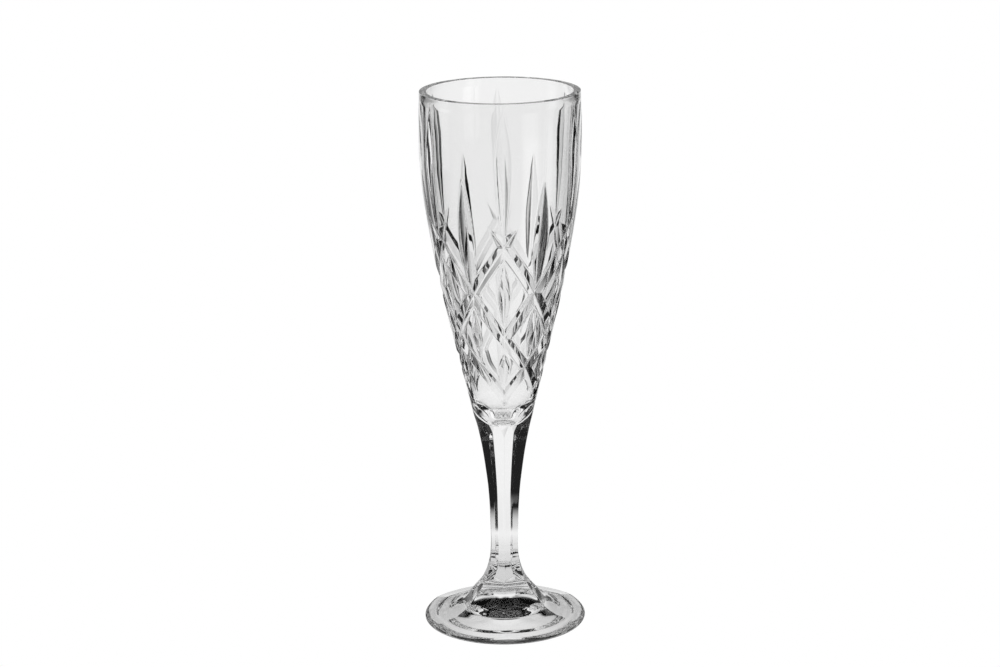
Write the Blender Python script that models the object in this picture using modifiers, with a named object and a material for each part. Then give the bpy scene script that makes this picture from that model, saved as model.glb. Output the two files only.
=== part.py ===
"""Cut-crystal champagne flute: bowl, stem and foot, as three closed solids.

The glass stands on the XY plane with its axis on +Z. All lengths are metres.
Angles run round the axis from the front (-Y), positive towards +X, and the cut
pattern repeats every 60 degrees.
"""

import math

import bmesh
import bpy
from mathutils import Vector

COLLECTION = "champagne_flute"
CUTTERS = "champagne_flute_cutters"

# Overall
HEIGHT = 0.2250  # foot's resting ring to the top of the rim
JOINT_GAP = 0.0003  # between two gathers at each fused joint
Z_STEM_TOP = 0.0790
Z_STEM_BOTTOM = 0.0200
ROUND_STEPS = 60  # round the bowl and the foot
BOWL_TURN = 3.0  # half a step, so that no upright cut runs along an edge of the turning

# Bowl, outside: (height, radius) down from below the rim's roll
RIM_RADIUS = 0.0326
RIM_WALL = 0.0027
RIM_ROLL = 0.0006
BOWL_OUTER = (
    (0.2160, 0.03285),
    (0.2060, 0.0330),
    (0.1960, 0.0327),
    (0.1860, 0.0319),
    (0.1750, 0.0305),
    (0.1630, 0.0286),
    (0.1500, 0.0261),
    (0.1370, 0.0234),
    (0.1240, 0.0204),
    (0.1120, 0.0175),
    (0.1010, 0.0149),
    (0.0930, 0.0130),
    (0.0875, 0.0120),
)
BOWL_FOOT_RADIUS = 0.0113  # of the turned bowl at the joint, before its flats
BOWL_FLATS = (  # (height, corner radius) of the six flats that run up into the bowl
    (0.0750, 0.0101),
    (0.0793, 0.0110),
    (0.0837, 0.01226),
    (0.0875, 0.01334),
    (0.0910, 0.01455),
    (0.0950, 0.0163),
    (0.0990, 0.0188),
    (0.1100, 0.0300),
)
# Bowl, inside: wall thickness rises from the rim down to the cut band
CAVITY_BOTTOM = 0.0862
CAVITY = (
    (0.0864, 0.0022),
    (0.0872, 0.0044),
    (0.0892, 0.0066),
    (0.0918, 0.0086),
    (0.0952, 0.0106),
    (0.1000, 0.0123),
    (0.1100, 0.0144),
    (0.1230, 0.0172),
    (0.1360, 0.0202),
    (0.1480, 0.0228),
    (0.1600, 0.0250),
    (0.1720, 0.0270),
    (0.1850, 0.0286),
    (0.1980, 0.0293),
    (0.2120, 0.0297),
)

# Cut pattern
REPEAT = 60.0
ROWS = (  # (height of the crossings, angle of the first crossing)
    (0.1662, 0.0),
    (0.1456, 30.0),
    (0.1270, 0.0),
    (0.1132, 30.0),
    (0.1008, 0.0),
)
LATTICE_HALF = 0.0026
LATTICE_DEPTH = 0.0013
LEFT_SHALLOWER = 0.00005  # the second pass of crossing cuts runs a hair shallower
UPRIGHT_OFFSET = 0.17  # degrees, so that an upright's crease misses the crossings' own
TALL = (0.1655, 0.2225, 0.0034, 0.0014)  # low end, high end, half width, depth
LEAF = (0.1445, 0.1945, 0.0031, 0.0014)
LENS_UPPER = (0.1325, 0.1582, 0.0023, 0.0010)
LENS_SIDE = (0.1180, 0.1395, 0.0021, 0.0010)
LENS_LOWER = (0.1048, 0.1210, 0.0020, 0.0009)

# Stem: hexagonal with a corner to the front, (height, corner radius) down
STEM = (
    (0.0790, 0.01095),
    (0.0730, 0.0097),
    (0.0660, 0.0086),
    (0.0580, 0.0075),
    (0.0500, 0.0069),
    (0.0410, 0.0065),
    (0.0350, 0.0064),
    (0.0300, 0.0065),
    (0.0260, 0.0070),
    (0.0230, 0.0078),
    (0.0200, 0.0089),
)
STEM_SIDES = 6

# Foot
FOOT_EDGE = (  # (radius, height) of the rounded edge, down
    (0.0324, 0.0038),
    (0.0331, 0.0032),
    (0.0336, 0.0024),
    (0.0336, 0.0015),
    (0.0331, 0.0007),
    (0.0323, 0.0002),
)
FOOT_FLARE = (  # (height, corner radius) of the six-sided flare, down
    (0.0197, 0.0090),
    (0.0173, 0.0103),
    (0.0147, 0.0122),
    (0.0124, 0.0142),
    (0.0098, 0.0166),
    (0.0081, 0.0186),
    (0.0066, 0.0210),
    (0.0054, 0.0240),
    (0.0044, 0.0281),
    (0.0036, 0.0327),
    (0.0030, 0.0374),
)
FOOT_RING_OUTER = 0.0312
FOOT_RING_INNER = 0.0296
FOOT_HOLLOW = (  # (radius, height) of the domed underside, inwards from the ring
    (0.0270, 0.00060),
    (0.0240, 0.00135),
    (0.0210, 0.00225),
    (0.0180, 0.00325),
    (0.0155, 0.00410),
    (0.0130, 0.00475),
    (0.0100, 0.00530),
    (0.0050, 0.00585),
    (0.0, 0.0060),
)


def clear():
    for ob in list(bpy.data.objects):
        bpy.data.objects.remove(ob, do_unlink=True)
    for me in list(bpy.data.meshes):
        bpy.data.meshes.remove(me)


def collection(name):
    col = bpy.data.collections.get(name) or bpy.data.collections.new(name)
    if name not in bpy.context.scene.collection.children:
        bpy.context.scene.collection.children.link(col)
    return col


def crystal(name):
    mat = bpy.data.materials.new(name)
    mat.use_nodes = True
    p = mat.node_tree.nodes["Principled BSDF"]
    p.inputs["Base Color"].default_value = (0.97, 0.98, 0.98, 1.0)
    p.inputs["Roughness"].default_value = 0.02
    p.inputs["IOR"].default_value = 1.54
    p.inputs["Transmission Weight"].default_value = 1.0
    return mat


def turned(name, profile, steps, col, turn=0.0):
    """Turns a profile of (radius, height) at +X about the axis."""
    me = bpy.data.meshes.new(name)
    me.from_pydata(
        [(r, 0.0, z) for r, z in profile],
        [(i, i + 1) for i in range(len(profile) - 1)],
        [],
    )
    ob = bpy.data.objects.new(name, me)
    col.objects.link(ob)
    screw = ob.modifiers.new("turn", "SCREW")
    screw.axis = "Z"
    screw.angle = math.radians(360.0)
    screw.steps = steps
    screw.render_steps = steps
    screw.use_merge_vertices = True
    screw.merge_threshold = 0.00001
    screw.use_normal_calculate = True
    apply(ob)
    if turn:
        spin(ob, turn)
    return ob


def apply(ob):
    """Replaces an object's mesh by its evaluated mesh, facing out."""
    depsgraph = bpy.context.evaluated_depsgraph_get()
    me = bpy.data.meshes.new_from_object(ob.evaluated_get(depsgraph))
    ob.modifiers.clear()
    ob.data = me
    bm = bmesh.new()
    bm.from_mesh(me)
    bmesh.ops.remove_doubles(bm, verts=bm.verts, dist=0.000001)
    bmesh.ops.recalc_face_normals(bm, faces=bm.faces)
    bm.to_mesh(me)
    bm.free()


def spin(ob, degrees):
    a = math.radians(degrees)
    c, s = math.cos(a), math.sin(a)
    for v in ob.data.vertices:
        x, y = v.co.x, v.co.y
        v.co.x, v.co.y = c * x - s * y, s * x + c * y


def outer_radius(z):
    """The bowl's outside radius, by straight runs between its rings."""
    rings = [(HEIGHT, RIM_RADIUS), *BOWL_OUTER, (Z_STEM_TOP, BOWL_FOOT_RADIUS)]
    for (z1, r1), (z0, r0) in zip(rings, rings[1:]):
        if z0 <= z <= z1:
            return r0 + (r1 - r0) * (z - z0) / (z1 - z0)
    return rings[-1][1] if z < rings[-1][0] else rings[0][1]


def on_bowl(degrees, z):
    """A point on the bowl's outside and the outward normal there."""
    a = math.radians(degrees)
    e = 0.002
    slope = (outer_radius(z + e) - outer_radius(z - e)) / (2 * e)
    radial = Vector((math.sin(a), -math.cos(a), 0.0))
    normal = (radial - Vector((0.0, 0.0, slope))).normalized()
    return radial * outer_radius(z) + Vector((0.0, 0.0, z)), normal


def v_cutter(name, stations, col):
    """A lofted wedge along stations of (degrees, z, half width, depth)."""
    points = [on_bowl(a, z) for a, z, _, _ in stations]
    verts = []
    for i, (_, _, half, depth) in enumerate(stations):
        p, n = points[i]
        ahead = points[min(i + 1, len(points) - 1)][0]
        behind = points[max(i - 1, 0)][0]
        along = (ahead - behind).normalized()
        side = n.cross(along).normalized()
        rise = 0.0012  # how far the wedge stands out of the surface
        flare = half * (1.0 + rise / max(depth, 0.0003))
        flare = min(flare, half + 0.0022)
        verts += [
            p - n * depth,
            p + n * rise + side * flare,
            p + n * rise - side * flare,
        ]
    faces = [(0, 1, 2)]
    for i in range(len(stations) - 1):
        a, b = 3 * i, 3 * i + 3
        faces += [
            (a, b, b + 1, a + 1),
            (a + 1, b + 1, b + 2, a + 2),
            (a + 2, b + 2, b, a),
        ]
    last = 3 * (len(stations) - 1)
    faces.append((last, last + 2, last + 1))
    me = bpy.data.meshes.new(name)
    me.from_pydata([tuple(v) for v in verts], [], faces)
    bm = bmesh.new()
    bm.from_mesh(me)
    bmesh.ops.triangulate(bm, faces=[f for f in bm.faces if len(f.verts) > 3])
    bmesh.ops.recalc_face_normals(bm, faces=bm.faces)
    bm.to_mesh(me)
    bm.free()
    ob = bpy.data.objects.new(name, me)
    col.objects.link(ob)
    ob.hide_render = True
    ob.display_type = "WIRE"
    return ob


def row_height(s):
    """Height of a diagonal after s half-repeats from the top row, smoothly."""
    zs = [z for z, _ in ROWS]
    if s <= 0:
        return zs[0] + (zs[0] - zs[1]) * -s
    if s >= len(zs) - 1:
        return zs[-1] - (zs[-2] - zs[-1]) * (s - len(zs) + 1)
    i = min(int(s), len(zs) - 2)
    f = s - i
    p0 = zs[i - 1] if i else 2 * zs[0] - zs[1]
    p3 = zs[i + 2] if i + 2 < len(zs) else 2 * zs[-1] - zs[-2]
    p1, p2 = zs[i], zs[i + 1]
    return 0.5 * (
        2 * p1
        + (p2 - p0) * f
        + (2 * p0 - 5 * p1 + 4 * p2 - p3) * f * f
        + (3 * p1 - 3 * p2 + p3 - p0) * f * f * f
    )


def diagonal(start, hand, name, col):
    """One diagonal mitre cut, tapering out past the first and last crossing."""
    lo, hi, n = -0.34, 4.18, 16
    stations = []
    for i in range(n):
        s = lo + (hi - lo) * i / (n - 1)
        end = min(1.0, (s - lo) / 0.30, (hi - s) / 0.22)
        taper = 0.25 + 0.75 * max(0.0, end)
        width = LATTICE_HALF * (0.72 + 0.28 * (4 - max(0.0, s)) / 4)
        stations.append(
            (
                start + hand * 30.0 * s,
                row_height(s),
                width * taper,
                (LATTICE_DEPTH - (LEFT_SHALLOWER if hand < 0 else 0.0))
                * (1.6 * taper - 0.6),
            )
        )
    return v_cutter(name, stations, col)


def upright(degrees, cut, name, col, widest=0.5, n=9):
    """One upright cut, pointed at both ends and widest part of the way up."""
    low, high, half, depth = cut
    degrees += UPRIGHT_OFFSET
    stations = []
    for i in range(n):
        t = i / (n - 1)
        f = t / widest if t < widest else (1 - t) / (1 - widest)
        f = max(0.0, 1.0 - (1.0 - f) ** 1.7)
        stations.append(
            (degrees, low + (high - low) * t, 0.0002 + half * f, depth * f - 0.0002)
        )
    return v_cutter(name, stations, col)


def cut(ob, cutters, label):
    """Takes each cutter out of a solid in turn."""
    for i, c in enumerate(cutters):
        m = ob.modifiers.new(f"{label}_{i:02d}", "BOOLEAN")
        m.operation = "DIFFERENCE"
        m.solver = "EXACT"
        m.object = c
    apply(ob)


def keep_inside(ob, tool, label):
    """Keeps only the part of a solid that is inside the tool."""
    tool.hide_render = True
    tool.display_type = "WIRE"
    m = ob.modifiers.new(label, "BOOLEAN")
    m.operation = "INTERSECT"
    m.solver = "EXACT"
    m.object = tool
    apply(ob)


def make_bowl(col, cutters):
    z_low = Z_STEM_TOP + JOINT_GAP
    outer = [
        (RIM_RADIUS - RIM_ROLL, HEIGHT),
        (RIM_RADIUS, HEIGHT - RIM_ROLL),
        *[(r, z) for z, r in BOWL_OUTER],
        (BOWL_FOOT_RADIUS, z_low),
        (0.0, z_low),
    ]
    rim_inner = RIM_RADIUS - RIM_WALL
    inner = [
        (0.0, CAVITY_BOTTOM),
        *[(r, z) for z, r in CAVITY],
        (rim_inner, HEIGHT - RIM_ROLL),
        (rim_inner + RIM_ROLL, HEIGHT),
    ]
    # the turned profile is one closed loop: outside down, across, inside up
    me = bpy.data.meshes.new("bowl")
    ring = outer + inner
    me.from_pydata(
        [(r, 0.0, z) for r, z in ring],
        [(i, i + 1) for i in range(len(ring) - 1) if ring[i][0] or ring[i + 1][0]]
        + [(len(ring) - 1, 0)],
        [],
    )
    ob = bpy.data.objects.new("bowl", me)
    col.objects.link(ob)
    screw = ob.modifiers.new("turn", "SCREW")
    screw.axis = "Z"
    screw.angle = math.radians(360.0)
    screw.steps = ROUND_STEPS
    screw.render_steps = ROUND_STEPS
    screw.use_merge_vertices = True
    screw.merge_threshold = 0.00001
    screw.use_normal_calculate = True
    apply(ob)
    spin(ob, BOWL_TURN)

    flats = [
        (0.0, BOWL_FLATS[0][0]),
        *[(r, z) for z, r in BOWL_FLATS],
        (0.0450, 0.1250),
        (0.0450, HEIGHT + 0.0100),
        (0.0, HEIGHT + 0.0100),
    ]
    tool = turned("bowl_flats", flats, STEM_SIDES, cutters, 30.0)
    keep_inside(ob, tool, "flats")

    wedges = []
    for k in range(6):
        base = REPEAT * k
        wedges.append(diagonal(base, 1.0, f"cut_right_{k}", cutters))
        wedges.append(diagonal(base, -1.0, f"cut_left_{k}", cutters))
    for k in range(6):
        base = REPEAT * k
        wedges.append(upright(base, TALL, f"cut_tall_{k}", cutters, 0.57, 11))
        wedges.append(upright(base + 30.0, LEAF, f"cut_leaf_{k}", cutters, 0.45))
        wedges.append(upright(base, LENS_UPPER, f"cut_lens_upper_{k}", cutters))
        wedges.append(upright(base + 30.0, LENS_SIDE, f"cut_lens_side_{k}", cutters))
        wedges.append(upright(base, LENS_LOWER, f"cut_lens_lower_{k}", cutters))
    cut(ob, wedges, "mitre")
    return ob


def make_stem(col):
    profile = [(0.0, STEM[0][0]), *[(r, z) for z, r in STEM], (0.0, STEM[-1][0])]
    return turned("stem", profile, STEM_SIDES, col, 30.0)


def make_foot(col, cutters):
    top = FOOT_FLARE[0][0]
    disc = [
        (0.0, top + 0.004),
        (0.0120, top + 0.004),
        (0.0250, 0.0120),
        (0.0312, 0.0056),
        *FOOT_EDGE,
        (FOOT_RING_OUTER, 0.0),
        (FOOT_RING_INNER, 0.0),
        *FOOT_HOLLOW,
    ]
    ob = turned("foot", disc, ROUND_STEPS, col)
    low = -0.0030
    flare = [
        (0.0, top),
        *[(r, z) for z, r in FOOT_FLARE],
        (0.0460, 0.0024),
        (0.0470, low),
        (0.0, low),
    ]
    tool = turned("foot_flare", flare, STEM_SIDES, cutters, 30.0)
    keep_inside(ob, tool, "flare")
    return ob


def main():
    clear()
    col = collection(COLLECTION)
    cutters = collection(CUTTERS)
    pieces = (
        (make_bowl(col, cutters), "bowl_crystal"),
        (make_stem(col), "stem_crystal"),
        (make_foot(col, cutters), "foot_crystal"),
    )
    for ob, name in pieces:
        ob.data.materials.clear()
        ob.data.materials.append(crystal(name))
        print(ob.name, len(ob.data.vertices), len(ob.data.polygons))


main()
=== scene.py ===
"""Clear cut-crystal champagne flute on a pale table in soft studio light."""

import math

import bpy
import numpy as np
from mathutils import Matrix, Vector


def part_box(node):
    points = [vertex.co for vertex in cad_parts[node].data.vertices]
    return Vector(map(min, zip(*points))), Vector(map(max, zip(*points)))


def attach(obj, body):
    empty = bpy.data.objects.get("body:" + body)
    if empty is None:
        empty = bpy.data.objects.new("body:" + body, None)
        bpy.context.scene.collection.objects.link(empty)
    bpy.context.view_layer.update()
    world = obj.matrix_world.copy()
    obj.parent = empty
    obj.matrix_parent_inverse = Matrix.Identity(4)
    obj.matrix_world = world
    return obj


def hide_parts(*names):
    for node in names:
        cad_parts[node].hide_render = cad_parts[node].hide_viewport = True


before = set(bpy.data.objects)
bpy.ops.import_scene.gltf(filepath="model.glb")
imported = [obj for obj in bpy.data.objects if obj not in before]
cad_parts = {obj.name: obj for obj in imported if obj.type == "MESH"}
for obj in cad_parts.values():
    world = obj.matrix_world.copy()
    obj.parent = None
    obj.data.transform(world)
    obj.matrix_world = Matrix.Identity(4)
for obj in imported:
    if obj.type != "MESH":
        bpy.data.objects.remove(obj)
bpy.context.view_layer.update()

# ---------------------------------------------------------------- glass shape
# Everything below is in millimetres and degrees until the mesh is written.
# Angles run round the axis from the front (-Y), positive towards +X.

COLUMNS = 720

H = 225.0
ROUND = np.array(  # (height, radius) of the turned bowl, before the cuts
    [
        (221.5, 32.65),
        (216.0, 32.85),
        (208.0, 33.00),
        (199.5, 32.90),
        (193.0, 32.55),
        (186.6, 31.98),
        (178.0, 30.95),
        (169.5, 29.65),
        (161.0, 28.20),
        (152.0, 26.50),
        (143.7, 24.80),
        (135.0, 23.00),
        (126.6, 21.05),
        (118.0, 18.95),
        (109.4, 16.85),
        (101.0, 14.90),
        (95.0, 13.45),
        (91.0, 12.60),
        (87.5, 12.00),
        (83.7, 11.55),
        (79.4, 11.30),
        (74.0, 11.20),
        (60.0, 11.20),
    ]
)
FLATS = np.array(  # (height, distance from the axis) of the six flats
    [
        (99.0, 16.3),
        (95.0, 13.9),
        (91.0, 12.6),
        (87.5, 11.3),
        (83.7, 10.3),
        (79.4, 9.42),
        (75.2, 8.7),
        (66.6, 7.5),
        (58.0, 6.52),
        (49.4, 5.95),
        (41.0, 5.66),
        (35.0, 5.52),
        (30.0, 5.66),
        (26.0, 6.1),
        (23.0, 6.75),
        (21.0, 7.35),
        (19.4, 7.95),
        (17.3, 8.9),
        (16.0, 9.7),
        (14.7, 10.6),
        (13.3, 11.65),
        (11.6, 12.95),
        (9.8, 14.4),
        (8.1, 16.1),
        (6.6, 18.2),
        (5.4, 20.8),
        (4.4, 24.3),
        (3.6, 28.3),
        (3.0, 32.4),
    ]
)
FOOT_TOP_EDGE = 32.40
RIM_HALF = 1.50  # half the rim's thickness
RIM_DROP = 0.93  # height of its rounded shoulders
RIM_POWER = 0.15  # 1 is a round top; less is flatter
INNER = np.array(  # (height, radius) of the cavity, up from its bottom
    [
        (86.43, 0.0),
        (86.43, 1.8),
        (87.14, 4.2),
        (88.88, 6.6),
        (91.96, 8.54),
        (95.2, 10.6),
        (99.0, 12.28),
        (109.4, 14.21),
        (118.0, 15.29),
        (126.6, 17.47),
        (143.7, 21.99),
        (161.0, 25.40),
        (178.0, 27.57),
        (193.0, 28.98),
        (205.0, 29.72),
        (216.0, 30.28),
        (222.0, 30.40),
    ]
)


def spline(points, n):
    """A centripetal-like smooth curve through 2-D points, n samples, by even chord length."""
    p = np.asarray(points, float)
    d = np.r_[0, np.cumsum(np.linalg.norm(np.diff(p, axis=0), axis=1))]
    out = np.linspace(0, d[-1], n)
    res = np.empty((n, 2))
    for k in range(2):
        y = p[:, k]
        h = np.diff(d)
        delta = np.diff(y) / h
        m = np.empty(len(y))
        m[0], m[-1] = delta[0], delta[-1]
        for i in range(1, len(y) - 1):
            if delta[i - 1] * delta[i] <= 0:
                m[i] = 0.0
            else:
                w1, w2 = 2 * h[i] + h[i - 1], h[i] + 2 * h[i - 1]
                m[i] = (w1 + w2) / (w1 / delta[i - 1] + w2 / delta[i])
        i = np.clip(np.searchsorted(d, out, "right") - 1, 0, len(h) - 1)
        t = (out - d[i]) / h[i]
        res[:, k] = (
            y[i] * (1 + 2 * t) * (1 - t) ** 2
            + h[i] * m[i] * t * (1 - t) ** 2
            + y[i + 1] * t * t * (3 - 2 * t)
            + h[i] * m[i + 1] * t * t * (t - 1)
        )
    return res


# Cut pattern, the same every 60 degrees
LEAVES = [  # upright cuts: (between columns, low end, high end, half width, depth, widest at)
    (0, 165.40, 222.00, 3.00, 1.22, 0.66),
    (1, 144.60, 194.00, 3.10, 1.42, 0.50),
    (0, 131.89, 160.57, 2.41, 0.95, 0.51),
    (1, 118.16, 139.57, 1.54, 0.95, 0.51),
    (0, 105.78, 121.08, 2.13, 0.82, 0.55),
]
ROW_Z = np.array([166.2, 145.6, 127.0, 113.2, 100.8])
LAT_HALF, LAT_DEPTH = 2.70, 1.34
ROUND_CREASE, ROUND_EDGE = 0.146, 0.100


def path_z(s):
    """Height of a diagonal after s half-repeats from the top crossing."""
    zs = np.r_[
        2 * ROW_Z[0] - ROW_Z[1], ROW_Z, 2 * ROW_Z[-1] - ROW_Z[-2]
    ]
    x = np.clip(s + 1, 0, len(zs) - 1.001)
    i = x.astype(int)
    f = x - i
    p0 = zs[np.maximum(i - 1, 0)]
    p1, p2 = zs[i], zs[i + 1]
    p3 = zs[np.minimum(i + 2, len(zs) - 1)]
    z = 0.5 * (
        2 * p1
        + (p2 - p0) * f
        + (2 * p0 - 5 * p1 + 4 * p2 - p3) * f * f
        + (3 * p1 - 3 * p2 + p3 - p0) * f**3
    )
    dz = 0.5 * (
        (p2 - p0)
        + 2 * (2 * p0 - 5 * p1 + 4 * p2 - p3) * f
        + 3 * (3 * p1 - 3 * p2 + p3 - p0) * f * f
    )
    return z, dz


LIP_RISE, LIP_WIDTH = 0.074, 0.17  # fire-polished ridge along each cut's edge


def smooth_cut(height, k=ROUND_EDGE):
    ridge = LIP_RISE * np.exp(-((height / LIP_WIDTH) ** 2))
    return 0.5 * (height + np.sqrt(height * height + k * k)) - ridge


def soft_max(a, b, k=ROUND_EDGE):
    return 0.5 * (a + b + np.sqrt((a - b) ** 2 + k * k))


def tent(x, half, depth_per_mm):
    """A V cut's depth at x mm from its centre line, negative outside it."""
    return depth_per_mm * (half - (np.sqrt(x * x + ROUND_CREASE**2) - ROUND_CREASE))


def leaf(u, z, low, high, half, depth, widest=0.5, power=1.7):
    """A pointed upright cut: u is the arc distance from its centre line."""
    t = (z - low) / (high - low)
    f = np.where(t < widest, t / widest, (1 - t) / (1 - widest))
    w = 1.0 - np.abs(1.0 - np.clip(f, -1.0, 1.0)) ** power
    w = np.where(f < 0, f * 3.0, w)
    return tent(u, half * w, depth / half)


def cut_depth(theta, z, radius, slope):
    """Depth of all cuts at angle theta and height z (arrays of one shape)."""
    best = np.full(theta.shape, -1.0)
    rad = math.radians(1.0)
    cosv = 1.0 / np.sqrt(1.0 + slope * slope)
    for hand in (1.0, -1.0):
        for k in range(-6, 7):
            # position along this diagonal, in half repeats
            s = (hand * theta - 60.0 * k) / 30.0
            inside = (s > -0.9) & (s < 4.9)
            if not inside.any():
                continue
            zp, dz = path_z(s)
            f = z - zp
            du = dz / 30.0 / (radius * rad)  # per mm round the bowl
            dist = np.abs(f) / np.sqrt(cosv**2 + du * du)
            end = np.minimum((s + 0.36) / 0.32, (4.20 - s) / 0.24)
            taper = np.clip(end, -1.0, 1.0)
            width = LAT_HALF * (0.70 + 0.30 * (4 - np.clip(s, 0, 4)) / 4) * taper
            d = tent(dist, width, LAT_DEPTH / LAT_HALF)
            best = np.where(inside, soft_max(best, d), best)
    near = (theta + 30.0) % 60.0 - 30.0  # from the nearest front-type column
    off = (theta) % 60.0 - 30.0  # from the nearest column between
    u0 = near * rad * radius
    u1 = off * rad * radius
    for between, low, high, half, depth, widest in LEAVES:
        best = soft_max(best, leaf(u1 if between else u0, z, low, high, half, depth, widest))
    return smooth_cut(best)


CORNER_ROUND = 0.012


def six_sided(theta):
    """A hexagon's radius over its flats' distance, with softened corners at 0, 60, 120..."""
    a = np.radians(theta % 60.0 - 30.0)
    sharp = 1.0 / np.cos(a)
    limit = 1.1547 * (1.0 - 0.35 * CORNER_ROUND)
    return 0.5 * (sharp + limit - np.sqrt((sharp - limit) ** 2 + CORNER_ROUND**2))


def profile():
    """The section's samples (radius, height, kind), from the cavity's bottom round to the underside."""
    rows = []
    for z, r in spline(INNER, 90):
        rows.append((r, z, 0.0))
    mid = 32.55 - RIM_HALF
    for i in range(0, 25):
        a = math.pi * (1 - i / 24)
        c, t = math.cos(a), math.sin(a)
        rows.append(
            (
                mid + RIM_HALF * math.copysign(abs(c) ** RIM_POWER, c),
                H - RIM_DROP + RIM_DROP * t**RIM_POWER,
                0.0,
            )
        )
    for z in np.arange(221.4, 92.0, -0.25):
        rows.append((0.0, z, 1.0))
    for z in np.arange(92.0, 78.0, -0.20):
        rows.append((0.0, z, 1.0))
    for z in np.arange(78.0, 24.0, -1.0):
        rows.append((0.0, z, 1.0))
    flats = spline(FLATS, 4000)
    low = flats[flats[:, 0] <= 24.0]
    for i in np.linspace(0, len(low) - 1, 72).astype(int):
        rows.append((low[i, 1], low[i, 0], 2.0))
    edge = spline(
        [
            (32.40, 3.00),
            (33.05, 2.78),
            (33.45, 2.38),
            (33.60, 1.88),
            (33.50, 1.28),
            (33.10, 0.66),
            (32.30, 0.22),
            (31.20, 0.0),
        ],
        18,
    )[1:]
    for r, z in edge:
        rows.append((r, z, 3.0))
    under = spline(UNDER, 46)[1:]
    for r, z in under:
        rows.append((r, z, 4.0))
    return np.array(rows)


UNDER = [
    (31.2, 0.0),
    (29.6, 0.0),
    (28.9, 0.07),
    (27.0, 1.2),
    (24.0, 1.2),
    (21.0, 2.18),
    (18.0, 3.05),
    (15.5, 4.01),
    (13.0, 4.45),
    (10.0, 5.23),
    (5.0, 5.91),
    (0.0, 6.36),
]


def outside(theta, z):
    """Radius and slope of the uncut outside at each height, with the six flats taken off below the bowl."""
    rz = spline(ROUND, 4000)[::-1]
    fz = spline(FLATS, 4000)[::-1]
    body = np.interp(z, rz[:, 0], rz[:, 1])
    slope = np.interp(z + 0.5, rz[:, 0], rz[:, 1]) - np.interp(
        z - 0.5, rz[:, 0], rz[:, 1]
    )
    flat = np.interp(z, fz[:, 0], fz[:, 1], right=99.0)
    hexa = flat[:, None] * six_sided(theta)[None, :]
    k = 0.10
    full = np.repeat(body[:, None], len(theta), axis=1)
    both = 0.5 * (full + hexa - np.sqrt((full - hexa) ** 2 + k * k))
    return np.where(z[:, None] > 99.0, full, both), slope


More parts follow.
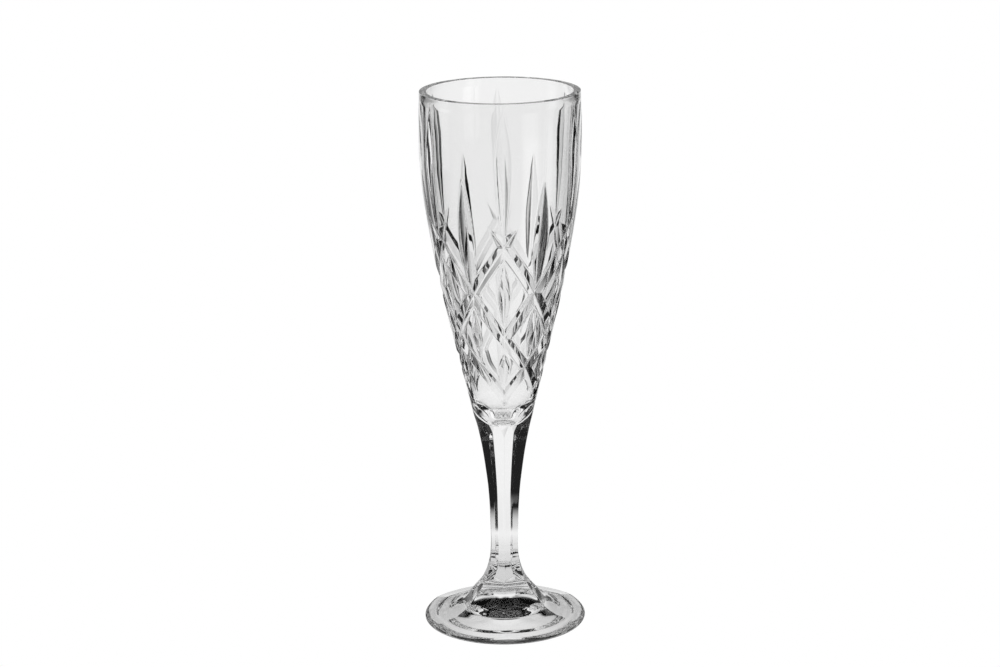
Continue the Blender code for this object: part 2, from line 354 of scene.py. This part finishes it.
def build_glass():
    rows = profile()
    theta = np.arange(COLUMNS) * 360.0 / COLUMNS
    R = np.repeat(rows[:, 0:1], COLUMNS, axis=1)
    Z = np.repeat(rows[:, 1:2], COLUMNS, axis=1)
    T = np.repeat(theta[None, :], len(rows), axis=0)
    kind = rows[:, 2]
    out = np.where(kind == 1.0)[0]
    radius, slope = outside(theta, rows[out, 1])
    R[out] = radius
    upper = out[rows[out, 1] > 88.0]
    n = len(upper)
    cuts = cut_depth(T[upper], Z[upper], radius[:n], slope[:n, None])
    c = 1.0 / np.sqrt(1.0 + slope[:n, None] ** 2)
    R[upper] -= cuts * c
    Z[upper] += cuts * c * slope[:n, None]
    # the foot: the six flats run out over it to the round edge
    hexn = six_sided(theta)
    fz = spline(FLATS, 4000)
    for i in np.where(kind == 2.0)[0]:
        d = rows[i, 0]
        u = np.clip((d - 11.0) / (FOOT_TOP_EDGE - 11.0), 0.0, 1.0)
        R[i] = d * (1.0 + (hexn - 1.0) * (1.0 - u))
        Z[i] = np.interp(R[i] / hexn, fz[2600:, 1], fz[2600:, 0])
        if u == 0.0:
            Z[i] = rows[i, 1]
    rise = Z[np.where(kind == 2.0)[0][-1]] - rows[np.where(kind == 2.0)[0][-1], 1]
    for i in np.where(kind == 3.0)[0]:
        Z[i] += rise * np.clip((rows[i, 1] - 0.6) / 2.4, 0.0, 1.0)
    X = R * np.sin(np.radians(T))
    Y = -R * np.cos(np.radians(T))
    verts = np.stack([X, Y, Z], axis=2)
    n_rows = len(rows)
    pts = np.concatenate(
        [
            np.array([[0.0, 0.0, rows[0, 1]]]),
            verts[1:-1].reshape(-1, 3),
            np.array([[0.0, 0.0, rows[-1, 1]]]),
        ]
    )
    pts *= 0.001
    m = COLUMNS
    a = np.arange(m)
    b = (a + 1) % m
    base = 1
    last_base = base + (n_rows - 3) * m
    first = np.stack([np.zeros(m, int), base + b, base + a], axis=1)
    last = np.stack([np.full(m, len(pts) - 1), last_base + a, last_base + b], axis=1)
    quads = np.concatenate(
        [
            np.stack(
                [
                    base + i * m + a,
                    base + i * m + b,
                    base + (i + 1) * m + b,
                    base + (i + 1) * m + a,
                ],
                axis=1,
            )
            for i in range(n_rows - 3)
        ]
    )
    tris = np.concatenate([first, last])
    corner = pts[quads]
    volume = (
        np.einsum("ij,ij->i", corner[:, 0], np.cross(corner[:, 1], corner[:, 2])).sum()
        + np.einsum("ij,ij->i", corner[:, 0], np.cross(corner[:, 2], corner[:, 3])).sum()
    )
    if volume < 0:
        quads, tris = quads[:, ::-1], tris[:, ::-1]
    whole = make_mesh("crystal_whole", pts, quads, tris)
    normals = np.empty(len(pts) * 3, np.float32)
    whole.vertex_normals.foreach_get("vector", normals)
    normals = normals.reshape(-1, 3)
    bpy.data.meshes.remove(whole)
    # the glass is one body, fused hot: its skin is parted at the two joints, with
    # no wall inside the glass, and each part keeps the whole skin's normals
    level = rows[1:-1, 1]
    outer = np.where(kind[1:-1] > 0.0)[0]
    top = outer[np.where(level[outer] <= STEM_TOP)[0][0]]
    bottom = outer[np.where(level[outer] <= STEM_BOTTOM)[0][0]]
    row = np.repeat(np.arange(n_rows - 3), m)
    parts = (
        ("crystal_bowl", quads[row < top], tris[:m]),
        ("crystal_stem", quads[(row >= top) & (row < bottom)], tris[:0]),
        ("crystal_foot", quads[row >= bottom], tris[m:]),
    )
    made = []
    for name, q, t in parts:
        used = np.unique(np.r_[q.ravel(), t.ravel()])
        to = np.full(len(pts), -1)
        to[used] = np.arange(len(used))
        me = make_mesh(name, pts[used], to[q], to[t])
        me.normals_split_custom_set_from_vertices(normals[used])
        made.append(me)
    return made


def make_mesh(name, pts, quads, tris):
    me = bpy.data.meshes.new(name)
    me.vertices.add(len(pts))
    me.vertices.foreach_set("co", pts.astype(np.float32).ravel())
    loops = np.concatenate([quads.ravel(), tris.ravel()]).astype(np.int32)
    me.loops.add(len(loops))
    me.loops.foreach_set("vertex_index", loops)
    me.polygons.add(len(quads) + len(tris))
    starts = np.r_[
        np.arange(len(quads)) * 4, len(quads) * 4 + np.arange(len(tris)) * 3
    ].astype(np.int32)
    me.polygons.foreach_set("loop_start", starts)
    me.polygons.foreach_set("use_smooth", np.ones(len(starts), bool))
    me.update(calc_edges=True)
    me.validate()
    return me


def crystal_material(name, wave, wave_size, seed, ring):
    """Clear crystal: fire-polished waviness, faint smears and a scuffed resting ring."""
    mat = bpy.data.materials.new(name)
    mat.use_nodes = True
    nt = mat.node_tree
    p = nt.nodes["Principled BSDF"]
    p.inputs["Base Color"].default_value = (1.0, 1.0, 1.0, 1.0)
    p.inputs["IOR"].default_value = 1.53
    p.inputs["Transmission Weight"].default_value = 1.0

    def add(kind, **values):
        nd = nt.nodes.new(kind)
        for k, v in values.items():
            setattr(nd, k, v)
        return nd

    def noise(scale, detail, rough, stretch=(1.0, 1.0, 1.0)):
        place = add("ShaderNodeMapping")
        place.inputs["Location"].default_value = (seed, seed * 0.7, seed * 1.3)
        place.inputs["Scale"].default_value = stretch
        nt.links.new(coords.outputs["Object"], place.inputs["Vector"])
        tex = add("ShaderNodeTexNoise")
        tex.inputs["Scale"].default_value = scale
        tex.inputs["Detail"].default_value = detail
        tex.inputs["Roughness"].default_value = rough
        nt.links.new(place.outputs["Vector"], tex.inputs["Vector"])
        return tex.outputs["Fac"]

    def span(value, lo, hi, at_lo, at_hi):
        nd = add("ShaderNodeMapRange", interpolation_type="SMOOTHSTEP")
        nt.links.new(value, nd.inputs["Value"])
        nd.inputs["From Min"].default_value = lo
        nd.inputs["From Max"].default_value = hi
        nd.inputs["To Min"].default_value = at_lo
        nd.inputs["To Max"].default_value = at_hi
        return nd.outputs["Result"]

    coords = add("ShaderNodeTexCoord")
    # slow waves drawn out along the glass, as heat leaves them
    waves = add("ShaderNodeBump")
    waves.inputs["Strength"].default_value = 1.0
    waves.inputs["Distance"].default_value = wave
    nt.links.new(noise(1.0 / wave_size, 2.0, 0.45, (1.0, 1.0, 0.55)), waves.inputs["Height"])
    # a finer ripple where the polish softened the cuts
    ripple = add("ShaderNodeBump")
    ripple.inputs["Strength"].default_value = 1.0
    ripple.inputs["Distance"].default_value = wave * 0.10
    nt.links.new(noise(4.5 / wave_size, 1.0, 0.5), ripple.inputs["Height"])
    nt.links.new(waves.outputs["Normal"], ripple.inputs["Normal"])
    nt.links.new(ripple.outputs["Normal"], p.inputs["Normal"])
    # polish: a hair less even in soft smears
    smear = span(noise(55.0, 3.0, 0.6, (1.0, 1.0, 0.4)), 0.56, 0.80, 0.0, 0.012)
    if ring:
        # fine scuffs on the ring that the foot stands on
        sep = add("ShaderNodeSeparateXYZ")
        nt.links.new(coords.outputs["Object"], sep.inputs[0])
        low = span(sep.outputs["Z"], 0.00002, 0.00014, 1.0, 0.0)
        scuff = span(noise(900.0, 2.0, 0.7), 0.42, 0.70, 0.03, 0.30)
        mul = add("ShaderNodeMath", operation="MULTIPLY_ADD")
        nt.links.new(low, mul.inputs[0])
        nt.links.new(scuff, mul.inputs[1])
        nt.links.new(smear, mul.inputs[2])
        smear = mul.outputs[0]
    nt.links.new(smear, p.inputs["Roughness"])
    return mat


STEM_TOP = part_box("stem")[1][2] * 1000.0
STEM_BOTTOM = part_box("stem")[0][2] * 1000.0
FINISH = (  # (node, slot, wave height in m, wave length in m, seed, resting ring)
    ("bowl", "bowl_crystal", 0.000012, 0.009, 0.31, False),
    ("stem", "stem_crystal", 0.000012, 0.009, 0.31, False),
    ("foot", "foot_crystal", 0.000012, 0.009, 0.31, True),
)
for mesh, (part, slot, wave, wave_size, seed, ring) in zip(build_glass(), FINISH):
    piece = bpy.data.objects.new(mesh.name, mesh)
    bpy.context.scene.collection.objects.link(piece)
    mesh.materials.append(crystal_material(slot + "_clear", wave, wave_size, seed, ring))
    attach(piece, "root")
    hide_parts(part)

# ---------------------------------------------------------------- stage
me = bpy.data.meshes.new("table")
n = 96
pts = [(6.0 * math.cos(2 * math.pi * i / n), 6.0 * math.sin(2 * math.pi * i / n), -0.0003) for i in range(n)]
me.from_pydata(pts, [], [tuple(range(n))])
table = bpy.data.objects.new("table", me)
bpy.context.scene.collection.objects.link(table)
mat = bpy.data.materials.new("table_white")
mat.use_nodes = True
nt = mat.node_tree
nt.nodes.remove(nt.nodes["Principled BSDF"])
em = nt.nodes.new("ShaderNodeEmission")
em.inputs["Color"].default_value = (1, 1, 1, 1)
em.inputs["Strength"].default_value = 1.0
nt.links.new(em.outputs[0], nt.nodes["Material Output"].inputs["Surface"])
me.materials.append(mat)
table.visible_transmission = False
table.visible_glossy = False

# the lit part of the table that the glass refracts and reflects
LIT_RADIUS = 0.36
me = bpy.data.meshes.new("lit_table")
pts = [
    (LIT_RADIUS * math.cos(2 * math.pi * i / n), LIT_RADIUS * math.sin(2 * math.pi * i / n), -0.0003)
    for i in range(n)
]
me.from_pydata(pts, [], [tuple(range(n))])
lit = bpy.data.objects.new("lit_table", me)
bpy.context.scene.collection.objects.link(lit)
mat = bpy.data.materials.new("lit_table")
mat.use_nodes = True
nt = mat.node_tree
nt.nodes.remove(nt.nodes["Principled BSDF"])
place = nt.nodes.new("ShaderNodeNewGeometry")
length = nt.nodes.new("ShaderNodeVectorMath")
length.operation = "LENGTH"
nt.links.new(place.outputs["Position"], length.inputs[0])


def over_radius(lo, hi, at_lo, at_hi, kind="LINEAR"):
    nd = nt.nodes.new("ShaderNodeMapRange")
    nd.interpolation_type = kind
    nt.links.new(length.outputs["Value"], nd.inputs["Value"])
    nd.inputs["From Min"].default_value = lo
    nd.inputs["From Max"].default_value = hi
    nd.inputs["To Min"].default_value = at_lo
    nd.inputs["To Max"].default_value = at_hi
    return nd.outputs["Result"]


em = nt.nodes.new("ShaderNodeEmission")
em.inputs["Color"].default_value = (1, 1, 1, 1)
ray = nt.nodes.new("ShaderNodeLightPath")
dim = nt.nodes.new("ShaderNodeMath")
dim.operation = "MULTIPLY_ADD"
nt.links.new(ray.outputs["Is Transmission Ray"], dim.inputs[0])
dim.inputs[1].default_value = 0.75
dim.inputs[2].default_value = 0.25
level = nt.nodes.new("ShaderNodeMath")
level.operation = "MULTIPLY"
# painted shadow: the table's glow dims towards the glass and falls nearly to black under the foot's dome,
# standing in for its contact shadow
painted_shadow = nt.nodes.new("ShaderNodeMath")
painted_shadow.operation = "MULTIPLY"
nt.links.new(over_radius(0.02, 0.12, 0.70, 0.90), painted_shadow.inputs[0])
nt.links.new(over_radius(0.0023, 0.0060, 0.04, 1.0, "SMOOTHSTEP"), painted_shadow.inputs[1])
# painted caustic: the table's glow is brighter in front of the glass, standing in for the light it gathers
# from behind
way = nt.nodes.new("ShaderNodeSeparateXYZ")
nt.links.new(place.outputs["Position"], way.inputs[0])
front = nt.nodes.new("ShaderNodeMath")
front.operation = "DIVIDE"
nt.links.new(way.outputs["Y"], front.inputs[0])
nt.links.new(length.outputs["Value"], front.inputs[1])
painted_caustic = nt.nodes.new("ShaderNodeMapRange")
painted_caustic.interpolation_type = "SMOOTHSTEP"
nt.links.new(front.outputs[0], painted_caustic.inputs["Value"])
painted_caustic.inputs["From Min"].default_value = -0.95
painted_caustic.inputs["From Max"].default_value = -0.51
painted_caustic.inputs["To Min"].default_value = 1.21
painted_caustic.inputs["To Max"].default_value = 1.0
shadow_and_caustic = nt.nodes.new("ShaderNodeMath")
shadow_and_caustic.operation = "MULTIPLY"
nt.links.new(painted_shadow.outputs[0], shadow_and_caustic.inputs[0])
nt.links.new(painted_caustic.outputs["Result"], shadow_and_caustic.inputs[1])
nt.links.new(shadow_and_caustic.outputs[0], level.inputs[0])
nt.links.new(dim.outputs[0], level.inputs[1])
nt.links.new(level.outputs[0], em.inputs["Strength"])
clear = nt.nodes.new("ShaderNodeBsdfTransparent")
mix = nt.nodes.new("ShaderNodeMixShader")
nt.links.new(over_radius(0.13, 0.29, 1.0, 0.0, "SMOOTHSTEP"), mix.inputs["Fac"])
nt.links.new(clear.outputs[0], mix.inputs[1])
nt.links.new(em.outputs[0], mix.inputs[2])
nt.links.new(mix.outputs[0], nt.nodes["Material Output"].inputs["Surface"])
me.materials.append(mat)
lit.visible_camera = False

# ---------------------------------------------------------------- light
world = bpy.data.worlds.new("studio")
bpy.context.scene.world = world
world.use_nodes = True
wt = world.node_tree
for nd in list(wt.nodes):
    wt.nodes.remove(nd)
L = wt.links.new


def node(kind, **values):
    nd = wt.nodes.new(kind)
    for k, v in values.items():
        setattr(nd, k, v)
    return nd


def maths(op, a, b=None, c=None, clamp=False):
    nd = node("ShaderNodeMath", operation=op, use_clamp=clamp)
    for i, v in enumerate((a, b, c)):
        if v is None:
            continue
        if isinstance(v, (int, float)):
            nd.inputs[i].default_value = v
        else:
            L(v, nd.inputs[i])
    return nd.outputs[0]


def ramp(value, lo, hi, out_lo=0.0, out_hi=1.0):
    nd = node("ShaderNodeMapRange", interpolation_type="SMOOTHSTEP")
    L(value, nd.inputs["Value"])
    nd.inputs["From Min"].default_value = lo
    nd.inputs["From Max"].default_value = hi
    nd.inputs["To Min"].default_value = out_lo
    nd.inputs["To Max"].default_value = out_hi
    return nd.outputs["Result"]


coord = node("ShaderNodeTexCoord")
sep = node("ShaderNodeSeparateXYZ")
L(coord.outputs["Generated"], sep.inputs[0])
x, y, z = sep.outputs[0], sep.outputs[1], sep.outputs[2]
azimuth = maths("ARCTAN2", x, y)  # 0 towards +Y, positive towards +X
elev = maths("ARCSINE", z)
LOBES = (  # (azimuth, even within, edge, none beyond, lowest, full below, none above)
    (3.0, 6.0, 25.0, 31.5, -62.0, 0.0, 14.0),
    (-45.5, 3.0, 8.0, 12.0, -42.0, -17.0, -11.0),
    (136.0, 4.0, 11.0, 16.0, -36.0, -11.0, -7.0),
    (-90.0, 4.0, 9.0, 13.0, -14.0, 4.0, 9.0),
)
value = None
for az0, even, edge, none, low, high, limit in LOBES:
    off = maths("SUBTRACT", azimuth, math.radians(az0))
    off = maths("WRAP", off, math.pi, -math.pi)
    off = maths("ABSOLUTE", off)
    w = ramp(off, math.radians(edge), math.radians(none), 1.0, 0.0)
    w = maths("MULTIPLY", w, ramp(off, math.radians(even), math.radians(edge), 1.0, 0.74))
    u = ramp(elev, math.radians(high), math.radians(limit), 1.0, 0.0)
    d = ramp(elev, math.radians(low - 3.0), math.radians(low), 0.0, 1.0)
    w = maths("MULTIPLY", maths("MULTIPLY", w, u), d)
    value = w if value is None else maths("MAXIMUM", value, w)
below = ramp(elev, math.radians(-72.0), math.radians(-66.0), 1.0, 0.0)
value = maths("MAXIMUM", value, below)
top = ramp(elev, math.radians(66.0), math.radians(74.0), 0.0, 0.30)
value = maths("MAXIMUM", value, top)
value = maths("MULTIPLY_ADD", value, 0.956, 0.004)
path = node("ShaderNodeLightPath")
final = maths("MAXIMUM", value, path.outputs["Is Camera Ray"])
bg = node("ShaderNodeBackground")
bg.inputs["Color"].default_value = (1.0, 1.0, 1.0, 1.0)
L(final, bg.inputs["Strength"])
out = node("ShaderNodeOutputWorld")
L(bg.outputs[0], out.inputs["Surface"])

scene = bpy.context.scene
scene.view_settings.view_transform = "Standard"
scene.cycles.max_bounces = 32
scene.cycles.transmission_bounces = 32
scene.cycles.glossy_bounces = 16
scene.cycles.transparent_max_bounces = 16

# ---------------------------------------------------------------- camera
AZ, DIST, CAM_Z, PITCH, ROLL, YAW = -2.0, 1.09, 0.417, 15.05, -0.6, 0.05
FOCAL_PX = 2749.0
cam_data = bpy.data.cameras.new("camera")
cam_data.sensor_width = 36.0
cam_data.lens = FOCAL_PX / 1000.0 * 36.0
cam_data.clip_start = 0.05
cam_data.clip_end = 50.0
camera = bpy.data.objects.new("camera", cam_data)
scene.collection.objects.link(camera)
a = math.radians(AZ)
camera.location = (DIST * math.sin(a), -DIST * math.cos(a), CAM_Z)
camera.matrix_world = (
    Matrix.Translation(camera.location)
    @ Matrix.Rotation(math.radians(AZ + YAW), 4, "Z")
    @ Matrix.Rotation(math.radians(90.0 - PITCH), 4, "X")
    @ Matrix.Rotation(math.radians(ROLL), 4, "Z")
)
scene.camera = camera
